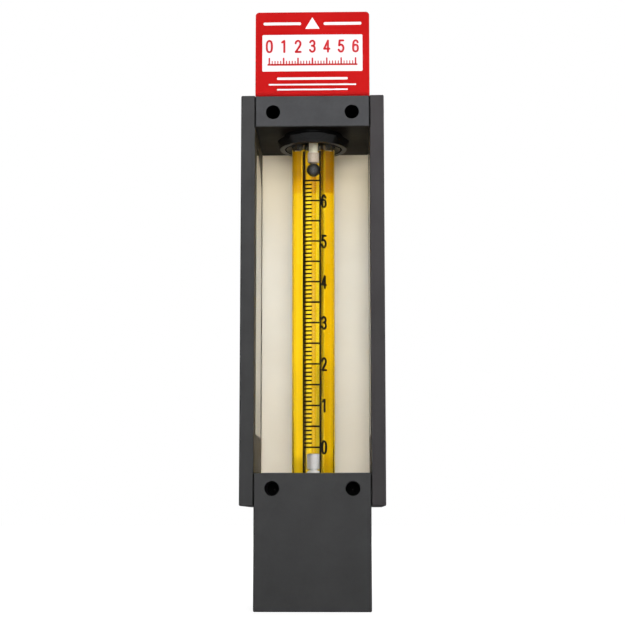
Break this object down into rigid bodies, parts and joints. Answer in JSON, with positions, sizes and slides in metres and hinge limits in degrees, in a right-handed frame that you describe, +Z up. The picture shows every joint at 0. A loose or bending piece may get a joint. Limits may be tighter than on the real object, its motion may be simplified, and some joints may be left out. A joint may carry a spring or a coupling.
{
  "type": "rotameter",
  "caption": "Short variable-area flow meter: glass tube with a ball and a printed scale between two grey end blocks, side rails, back plate, rear ports and a red name tag.",
  "frame": {"origin": "centre of the bottom block's underside", "axes": "+Z up along the metering tube, -Y towards the reader, +X to the reader's right; the ports point +Y"},
  "size_m": [0.0346, 0.052, 0.1445],
  "materials": {
    "grey_anodised": "matte",
    "rail_grey": "matte",
    "black_screw": "satin",
    "cream_plastic": "satin",
    "tube_glass": "gloss",
    "ball_dark": "satin",
    "stop_white": "satin",
    "seal_rubber": "matte",
    "black_plastic": "satin",
    "stainless": "satin",
    "nut_steel": "satin",
    "tag_red": "gloss"
  },
  "bodies": {
    "housing": {"bottom_block": "grey_anodised", "top_block": "grey_anodised", "left_side_rail": "rail_grey", "right_side_rail": "rail_grey", "rail_screws": "black_screw", "back_plate": "cream_plastic", "metering_tube": "tube_glass", "lower_float_stop": "stop_white", "upper_float_stop": "stop_white", "lower_tube_gasket": "seal_rubber", "lower_tube_bush": "black_plastic", "gland_nut": "black_plastic", "packing_follower": "stainless", "upper_tube_packing": "seal_rubber", "inlet_adapter": "stainless", "inlet_seal_ring": "seal_rubber", "outlet_adapter": "stainless", "outlet_seal_ring": "seal_rubber", "name_tag": "tag_red", "name_tag_screws": "nut_steel"},
    "ball": {"ball_float": "ball_dark"}
  },
  "joints": [
    {"name": "ball_rise", "type": "slide", "parent": "housing", "child": "ball", "axis": [0, 0, 1], "range_m": [-0.0678, 0]}
  ]
}
